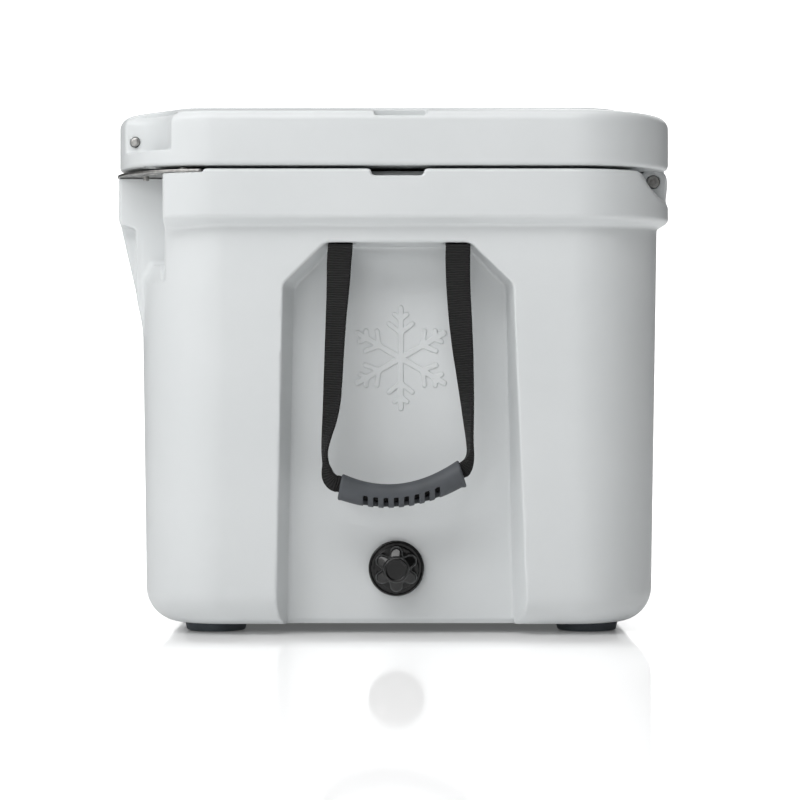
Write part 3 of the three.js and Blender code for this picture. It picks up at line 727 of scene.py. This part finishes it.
lid = Field(lid_base)
lid.add(either, lid_lug, 2, (262, 210, 380), (368, 262, 425))
lid.add(cut, latch_pocket, 4, (290, -262, 400), (400, -205, 462))
lid.add(cut, corner_scoop, 1.5, (400, -262, 412), (492, -170, 470))
lid.add(cut, knuckle_relief, 1, (355, 210, 395), (412, 262, 418))
lid.add(cut, latch_pin_bore, 0.5, (255, -238, 424), (440, -218, 441))
lid.add(cut, shackle_hole, 0.4, (438, -224, 405), (458, -202, 430))
lid.add(cut, lug_bore, 0.5, (285, 220, 388), (365, 242, 411))
lid.add(cut, gasket_groove, 0.8, (-1, -225, 405), (440, 225, 416))
lid.add(cut, tie_groove, 1.5, (438, -32, 444), (492, 42, 470))
lid.add(cut, lid_fill_hole, 0.8, (-20, -20, 380), (20, 20, 396))

moulded(
    "lid_molded",
    lid,
    (-480, -245, 386),
    (480, 245, 462),
    1.9,
    0.13,
    WHITE,
    "lid",
    ["lid_shell"],
    "shell",
)


# ---------------------------------------------------------------- snowflakes in low relief


def snowflake(x, y, z):
    """A six-armed snowflake that stands 1.2 mm off the recess floor."""
    u, v = y - 5.8, z - 242
    turn = np.pi / 3
    angle = np.arctan2(v, u) - np.pi / 6
    angle = np.abs((angle + turn / 2) % turn - turn / 2)
    r = length(u, v)
    along, across = r * np.cos(angle), r * np.sin(angle)
    arm = length(along - np.clip(along, 0, 44), across) - 2.6
    for start, reach in ((22, 13), (34, 7)):
        t = np.clip((along - start) * 0.62 + across * 0.785, 0, reach)
        arm = either(arm, length(along - start - 0.62 * t, across - 0.785 * t) - 2.2, 1)
    return both(arm + 0 * x, between(x, RECESS_X - 1.2, RECESS_X + 1.2), 1.1)


for side, end in ((1, "right"), (-1, "left")):
    moulded(
        f"snowflake_{end}",
        *on_side(side, snowflake, (429.5, -42, 195), (432.3, 54, 290)),
        0.7,
        0.5,
        WHITE,
        "chest",
        ["body_shell"],
        "shell",
    )

# ---------------------------------------------------------------- drain


def knob(x, y, z):
    """Six rounded lobes that fall away from a hub standing out of the middle."""
    face = RECESS_X + 8.6
    u, v = off_drain(y, z)
    turn = np.pi / 3
    angle = np.arctan2(v, u) - np.pi / 6
    angle = (angle + turn / 2) % turn - turn / 2
    r = length(u, v)
    lobe = length(r * np.cos(angle) - 14.2, r * np.sin(angle)) - 5.9
    star = either(lobe, r - 12.6, 3)
    cone = (x - face - 15 + 0.58 * (r - 11)) / 1.156
    star = both(both(star, cone, 2.5), face - x, 0.4)
    hub = both(r - 11, between(x, face, face + 24), 1.2)
    cup = both(r - 8.6, face + 23.2 - x, 0.3)
    stem = rod(u, v, x, 11.9, RECESS_X - 22, face + 4)
    return either(either(star, cut(hub, cup, 0.3), 1), stem)


def flange(x, y, z):
    """The ring round the knob, and the bushing behind it."""
    u, v = off_drain(y, z)
    r = length(u, v)
    plate = both(r - 24.5, between(x, RECESS_X + 2.6, RECESS_X + 6), 1.3)
    plate = cut(plate, both(both(r - 22.6, 19.5 - r), RECESS_X + 5.2 - x), 0.4)
    tube = rod(u, v, x, 17, 376, RECESS_X + 4)
    return cut(either(plate, tube), r - 12.4, 0.6)


moulded(
    "drain_knob_molded",
    knob,
    (409, -19, 36),
    (464, 23, 78),
    0.8,
    0.5,
    GLOSS,
    "drain_knob",
    ["drain_knob"],
    "gloss_black",
)
moulded(
    "drain_flange",
    flange,
    (376, -23, 32),
    (438, 27, 82),
    0.9,
    0.4,
    GLOSS,
    "chest",
    ["drain_bushing"],
    "gloss_black",
)


# ---------------------------------------------------------------- handles

SWING_X = 468.2
GRIP_START = (-46, 130)  # Y and Z of the grip's lower end
GRIP_REACH = (104.6, 12.2)  # from there to its upper end
GRIP_SAG = 54.8


def along_strap():
    """Rows of the webbing's centre, half width, half thickness and turn in degrees, slot to slot."""
    flat = [
        (454.3, 356),
        (454.3, 348),
        (455.6, 341.6),
        (460.5, 339.7),
        (465.4, 339.2),
        (468.1, 336.0),
    ]
    hanging = [
        (-47.6, 325, 10.8, 1.3, 8),
        (-48.1, 312, 10.8, 1.3, 18),
        (-49.0, 295, 10.8, 1.3, 28),
        (-50.2, 277, 10.8, 1.3, 35),
        (-51.8, 246, 10.8, 1.3, 40),
        (-53.0, 220, 10.8, 1.3, 43),
        (-54.1, 202, 10.8, 1.3, 47),
        (-55.8, 188, 10.8, 1.3, 56),
        (-58.0, 176, 10.8, 1.3, 67),
        (-59.3, 168, 10.8, 1.3, 74),
        (-60.1, 160, 10.6, 1.5, 80),
        (-59.5, 152, 9.6, 2.6, 86),
        (-58.4, 145, 8.6, 4.2, 90),
        (-56.6, 138.5, 7.6, 5.8, 90),
        (-52.6, 133.8, 7.0, 6.8, 90),
        (-47.4, 131.8, 6.5, 7.0, 90),
    ]
    inside = [(*grip_centre(t), 5.6, 4.2, 90) for t in (0.06, 0.25, 0.5, 0.75, 0.94)]
    rising = [
        (59.0, 144.0, 6.5, 7.0, 90),
        (62.0, 146.9, 7.0, 6.2, 90),
        (64.4, 150.8, 8.0, 4.6, 89),
        (65.8, 155.4, 9.4, 3.0, 86),
        (66.2, 160.5, 10.4, 1.9, 83),
        (65.8, 168, 10.8, 1.4, 80),
        (65.2, 177, 10.8, 1.3, 76),
        (64.5, 188, 10.8, 1.3, 70),
        (63.6, 202, 10.8, 1.3, 63),
        (62.4, 217, 10.8, 1.3, 55),
        (61.2, 231, 10.8, 1.3, 48),
        (59.9, 246, 10.8, 1.3, 39),
        (58.7, 260, 10.8, 1.3, 32),
        (57.4, 277, 10.8, 1.3, 24),
        (55.8, 304, 10.8, 1.3, 16),
        (55.3, 324, 10.8, 1.3, 8),
    ]
    front, rear = STRAP_YS
    rows = [(x, front, z, 10.8, 1.3, 0) for x, z in flat]
    rows += [(468.3, *row) for row in hanging + inside + rising]
    rows += [(x, rear, z, 10.8, 1.3, 0) for x, z in flat[::-1]]
    return np.array(rows, float)


def grip_centre(t):
    y = GRIP_START[0] + GRIP_REACH[0] * t
    return y, GRIP_START[1] + GRIP_REACH[1] * t - GRIP_SAG * t * (1 - t)


def smoothed(rows, per):
    """A curve through the rows, with extra rows between each pair."""
    ahead = np.vstack([rows[1:], 2 * rows[-1] - rows[-2]])
    behind = np.vstack([2 * rows[0] - rows[1], rows[:-1]])
    slope = (ahead - behind) / 2
    out = []
    for i in range(len(rows) - 1):
        for t in np.arange(per) / per:
            h = 2 * t**3 - 3 * t**2 + 1, t**3 - 2 * t**2 + t, -2 * t**3 + 3 * t**2, t**3 - t**2
            rise = h[0] * rows[i] + h[1] * slope[i] + h[2] * rows[i + 1]
            out.append(rise + h[3] * slope[i + 1])
    return np.array(out + [rows[-1]])


def strap_outline(sides=14):
    """The webbing's section, flat with rolled edges, as pairs (across, through) from -1 to 1."""
    row = np.linspace(-0.92, 0.92, sides)
    rolled = [(0.985, 0.6), (1.0, 0.0), (0.985, -0.6)]
    pairs = [(u, 1.0) for u in row] + rolled
    pairs += [(-u, -1.0) for u in row] + [(-u, -v) for u, v in rolled]
    return np.array(pairs)


def square_to(ahead, axis):
    """The axis's part square to each direction, as unit vectors, or zero where they're nearly parallel."""
    part = axis - ahead * (ahead @ axis)[:, None]
    size = np.linalg.norm(part, axis=1)[:, None]
    return np.where(size > 0.2, part / np.maximum(size, 0.2), 0)


def handle_strap(name, side):
    rows = smoothed(along_strap(), 8)
    centre = rows[:, :3]
    half, thick, turn = rows[:, 3:].T
    turn = np.radians(turn)[:, None]
    ahead = np.gradient(centre, axis=0)
    ahead /= np.linalg.norm(ahead, axis=1)[:, None]
    across = square_to(ahead, np.array([0.0, 1, 0])) * np.cos(turn)
    across = across + square_to(ahead, np.array([1.0, 0, 0])) * np.sin(turn)
    across /= np.linalg.norm(across, axis=1)[:, None]
    through = np.cross(ahead, across)
    section = strap_outline()
    u, v = section[:, 0], section[:, 1]
    co = centre[:, None] + across[:, None] * (half[:, None] * u)[..., None]
    co = co + through[:, None] * (thick[:, None] * v)[..., None]
    co = co.reshape(-1, 3) * (side, 1, 1)
    count = len(section)
    i, k = np.meshgrid(np.arange(len(rows) - 1), np.arange(count), indexing="ij")
    a, b = (i * count + k).ravel(), (i * count + (k + 1) % count).ravel()
    faces = np.stack([a, b, b + count, a + count], 1)
    if side < 0:
        faces = faces[:, ::-1]
    mesh = mesh_of(name, (co + (0, SHIFT_Y, 0)) * MM, faces)
    paint_band(mesh, centre, u)
    mesh.polygons.foreach_set("use_smooth", np.ones(len(mesh.polygons), bool))
    obj = bpy.data.objects.new(name, mesh)
    scene.collection.objects.link(obj)
    return obj


def paint_band(mesh, centre, across):
    """Coordinates on the band: across it from -1 to 1, and along it in metres."""
    along = np.concatenate([[0], np.cumsum(np.linalg.norm(np.diff(centre, axis=0), axis=1))])
    uv = mesh.uv_layers.new(name="band")
    at = np.empty(len(mesh.loops), np.int32)
    mesh.loops.foreach_get("vertex_index", at)
    pairs = np.stack([across[at % len(across)], along[at // len(across)] * MM], 1)
    uv.data.foreach_set("uv", pairs.astype(np.float32).ravel())


def grip(x, y, z):
    """A sagging tube, thicker at its ends, with eight slots through its inner lower side."""
    t = np.clip((y - GRIP_START[0]) / GRIP_REACH[0], 0, 1)
    _, middle = grip_centre(t)
    tilt = (GRIP_REACH[1] - GRIP_SAG * (1 - 2 * t)) / GRIP_REACH[0]
    lean = np.sqrt(1 + tilt * tilt)
    x = x - SWING_X
    down = (z - middle) / lean
    radial = length(x, down)
    ends = np.maximum(
        -(y + 47) * 0.983 + (z - 130) * 0.184,
        (y - 59.2) * 0.95 + (z - 142.2) * 0.30,
    )
    thick = 11.0 - 0.7 * np.cos((t - 0.5) * np.pi)
    tube = both(radial - thick, ends, 2.0)
    pitch = 8.9
    nearest = y - 6.5 - pitch * (np.clip(np.floor((y - 6.5) / pitch), -4, 3) + 0.5)
    slot = both(np.abs(nearest) - 2.0, both(down + 1.4, -3.5 - x, 0.8), 0.8)
    tube = cut(tube, slot, 0.7)
    return cut(tube, length(x / 1.15, down / 0.85) - 7, 0.8)


for side, end in ((1, "right"), (-1, "left")):
    strap = handle_strap(f"handle_webbing_{end}", side)
    placed(
        strap,
        WEBBING,
        None,
        [f"handle_strap_{end}", f"strap_end_{end}_front", f"strap_end_{end}_rear"],
    )
    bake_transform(strap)
    moulded(
        f"handle_grip_molded_{end}",
        *on_side(side, grip, (457, -52, 104), (480, 66, 153)),
        0.8,
        0.45,
        GRIP_RUBBER,
        f"handle_{end}",
        [f"handle_grip_{end}"],
        "slate_rubber",
    )


# ---------------------------------------------------------------- latches, plates, feet, fastenings


def latch_pull(x, y, z):
    """The rubber pull: an eye round the pin, a neck between the prongs and a wide head under them."""
    x = x - LATCH_X
    u, v = off_latch_pin(y, z)
    eye = rod(u, v, x, 9, -29, 29, 2)
    crown = np.maximum((z - 438 - 1.25 * (y + 234)) / 1.6, z - 438)
    strap = both(between(y, -242.3, LATCH_PIN[0]), np.maximum(366 - z, crown), 3)
    strap = both(strap, np.abs(x) - 25, 3)
    neck = block(x, y, z, (-12.8, -239.6, 336), (12.8, -230, 370), 2)
    front = 0.29 * (339 - z) - (y + 239.3)
    head = both(both(between(z, 306, 343), np.maximum(front, y + 229), 2), np.abs(x) - 37, 4)
    whole = either(either(either(eye, strap, 3), neck, 3), head, 3)
    ridge = 1.6 - 5 * np.abs((z - 322) / 5 - np.round((z - 322) / 5))
    grooves = both(both(ridge, between(z, 310, 332), 0.5), both(np.abs(x) - 30, front + 0.9), 0.5)
    whole = cut(whole, grooves, 0.4)
    return cut(whole, length(u, v) - 4.3, 0.4)


def lock_plate(x, y, z):
    """A steel sheet in the rim's corner, with a hole for a padlock."""
    sheet = both(plan(x, y, 476.5, -247, 241.5, 84), both(392 - x, y + 166, 3), 3)
    sheet = both(sheet, between(z, 402.3, 404.8), 0.5)
    return cut(sheet, length(x - SHACKLE[0], y - SHACKLE[1]) - 6, 0.5)


def foot(x, y, z):
    """A round pad with a bevelled edge, three rings in its tread and a recess for its screw."""
    r = length(x, y)
    pad = both(r - 28, z - 7.7, 0.4)
    pad = both(pad, (r - 28 + 0.45 * (5 - z)) / 1.1, 3)
    pad = both(pad, -z, 1.5)
    for ring in (11, 16, 21):
        pad = cut(pad, length(r - ring, z) - 0.9, 0.3)
    return cut(pad, both(r - 6, z - 3.6), 0.5)


def latch_pin(x, y, z):
    return rod(*off_latch_pin(y, z), x, 4, 266, 434, 1.8)


def hexagon(u, v, half):
    """A hexagon with its flats at that distance from the middle."""
    angle = np.arctan2(v, u)
    return length(u, v) * np.cos((angle + np.pi / 6) % (np.pi / 3) - np.pi / 6) - half


def hinge_pin(x, y, z):
    u, v = off_hinge(y, z)
    shank = rod(u, v, x, 4.5, 294, 402)
    head = rod(u, v, x, 5.6, 401.3, 406.5, 0.8)
    return cut(np.minimum(shank, head), both(hexagon(u, v, 2.4), 403.5 - x), 0.2)


def lid_gasket(x, y, z):
    """A flat strip with a shallow groove down its lower face."""
    strip = both(gasket_line(x, y) - 5.4, between(z, 405.3, 410.7), 2.2)
    return cut(strip, length(gasket_line(x, y), z - 404.6) - 1.8, 0.6)


def screw_head(x, y, z, radius, low, high, shank, tip, socket):
    """A domed head on a plain shank, with a hexagonal socket in the side that faces z = high."""
    r = length(x, y)
    rise = (high - low) / abs(high - low)
    head = both(r - radius, both((low - z) * rise, (z - high) * rise), 0.7)
    stem = both(r - shank, between(z, min(tip, low), max(tip, low)), 0.4)
    deep = (high - rise * 1.2 - z) * rise
    return cut(either(head, stem), both(hexagon(x, y, socket), deep), 0.15)


for side, end in ((1, "right"), (-1, "left")):
    moulded(
        f"latch_molded_{end}",
        *on_side(side, latch_pull, (308, -249, 305), (382, -224, 445)),
        1.2,
        0.45,
        BLACK_RUBBER,
        f"latch_{end}",
        [f"latch_{end}"],
        "black_rubber",
    )
    moulded(
        f"lock_plate_molded_{end}",
        *on_side(side, lock_plate, (391, -247.5, 402), (477, -165, 405)),
        0.7,
        0.4,
        STEEL,
        "chest",
        [f"lock_plate_{end}"],
        "steel",
    )
    for i, (x0, y0) in enumerate(((464, -183), (424, -219))):
        x0 *= side
        moulded(
            f"plate_screw_{end}_{i + 1}",
            lambda x, y, z, x0=x0, y0=y0: screw_head(
                x - x0, y - y0, z, 4.2, 405.1, 406.9, 2.6, 398.5, 1.4
            ),
            (x0 - 5, y0 - 5, 398),
            (x0 + 5, y0 + 5, 408),
            0.35,
            0.5,
            STEEL,
            "chest",
            [f"lock_plate_screw_{end}_{i + 1}"],
            "steel",
        )
    for place, y0 in (("front", -159), ("rear", 172)):
        x0 = 395 * side
        moulded(
            f"foot_molded_{end}_{place}",
            lambda x, y, z, x0=x0, y0=y0: foot(x - x0, y - y0, z),
            (x0 - 28, y0 - 28, 0),
            (x0 + 28, y0 + 28, 8),
            0.9,
            0.4,
            SLATE_RUBBER,
            "chest",
            [f"foot_{end}_{place}"],
            "slate_rubber",
        )
        moulded(
            f"foot_screw_molded_{end}_{place}",
            lambda x, y, z, x0=x0, y0=y0: screw_head(x - x0, y - y0, z, 5, 3.3, 1.2, 2, 12.5, 2),
            (x0 - 6, y0 - 6, 1),
            (x0 + 6, y0 + 6, 13),
            0.5,
            0.5,
            STEEL,
            "chest",
            [f"foot_screw_{end}_{place}"],
            "steel",
        )
    moulded(
        f"latch_pin_molded_{end}",
        *on_side(side, latch_pin, (266, -232, 428), (434, -224, 436)),
        0.6,
        0.3,
        STEEL,
        "lid",
        [f"latch_pin_{end}"],
        "steel",
    )
    moulded(
        f"hinge_pin_molded_{end}",
        *on_side(side, hinge_pin, (294, 225, 393.5), (407, 236.5, 405)),
        0.55,
        0.3,
        STEEL,
        "chest",
        [f"hinge_pin_{end}"],
        "steel",
    )

moulded(
    "lid_gasket_molded",
    lid_gasket,
    (-428, -208, 405),
    (428, 212, 411),
    1.4,
    0.25,
    BLACK_RUBBER,
    "lid",
    ["lid_gasket"],
    "black_rubber",
)

# ---------------------------------------------------------------- CAD nodes that stay

KEPT = {
    "body_foam_core": FOAM,
    "lid_foam_core": FOAM,
    "body_fill_plug": WHITE,
    "lid_fill_plug": WHITE,
    "drain_gasket": BLACK_RUBBER,
    "drain_seal": BLACK_RUBBER,
    "drain_nut": GLOSS,
}
for end in ("right", "left"):
    for place in ("front", "rear"):
        KEPT[f"strap_anchor_pin_{end}_{place}"] = STEEL
for node, material in KEPT.items():
    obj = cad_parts[node]
    obj.data.materials.clear()
    obj.data.materials.append(material)
    if material is not FOAM:
        bevel = obj.modifiers.new("edge", "BEVEL")
        bevel.width = 0.0004
        bevel.segments = 2
        bevel.limit_method = "ANGLE"


# ---------------------------------------------------------------- floor


def staged(paint, corners):
    """A flat piece of the studio."""
    name = paint.material.name
    mesh = mesh_of(name, np.array(corners, float), np.array([[0, 1, 2, 3]]))
    mesh.materials.append(paint.material)
    obj = bpy.data.objects.new(name, mesh)
    scene.collection.objects.link(obj)
    return obj


def floor():
    """A pale polished floor that glows, its glow turned down under and round the chest as a painted
    shadow.
    """
    paint = Paint("floor", grey(0.9), 0.06)
    paint.rough(paint.noise(3, 2), 0.04, 0.08)
    paint.shader.inputs["Specular IOR Level"].default_value = 0.18
    paint.shader.inputs["Emission Color"].default_value = (1, 1, 1, 1)
    apart = paint.tree.nodes.new("ShaderNodeSeparateXYZ")
    paint.link(paint.spread((1 / 0.5, 1 / 0.26, 0)), apart.inputs[0])
    farther = paint.tree.nodes.new("ShaderNodeMath")
    farther.operation = "MAXIMUM"
    for axis, into in zip(("X", "Y"), farther.inputs):
        size = paint.tree.nodes.new("ShaderNodeMath")
        size.operation = "ABSOLUTE"
        paint.link(apart.outputs[axis], size.inputs[0])
        paint.link(size.outputs[0], into)
    # The glow's strength is a painted shadow: low under the chest's footprint and rising beyond it, so the
    # floor darkens under and round the chest as if shaded.
    reach = paint.tree.nodes.new("ShaderNodeMapRange")
    for socket, value in (("From Min", 0.8), ("From Max", 1.15), ("To Min", 0.05), ("To Max", 0.34)):
        reach.inputs[socket].default_value = value
    paint.link(farther.outputs[0], reach.inputs["Value"])
    paint.link(reach.outputs["Result"], paint.shader.inputs["Emission Strength"])
    obj = staged(paint, [(-40, -40, 0), (40, -40, 0), (40, 40, 0), (-40, 40, 0)])
    obj.location.z = -0.0005


def backdrop():
    """A pale glowing wall far behind the chest."""
    paint = Paint("backdrop", grey(0.9), 1)
    paint.shader.inputs["Emission Color"].default_value = (1, 1, 1, 1)
    paint.shader.inputs["Emission Strength"].default_value = 1.0
    staged(paint, [(-5, -1.8, -1), (-5, 1.8, -1), (-5, 1.8, 2), (-5, -1.8, 2)])


floor()
backdrop()
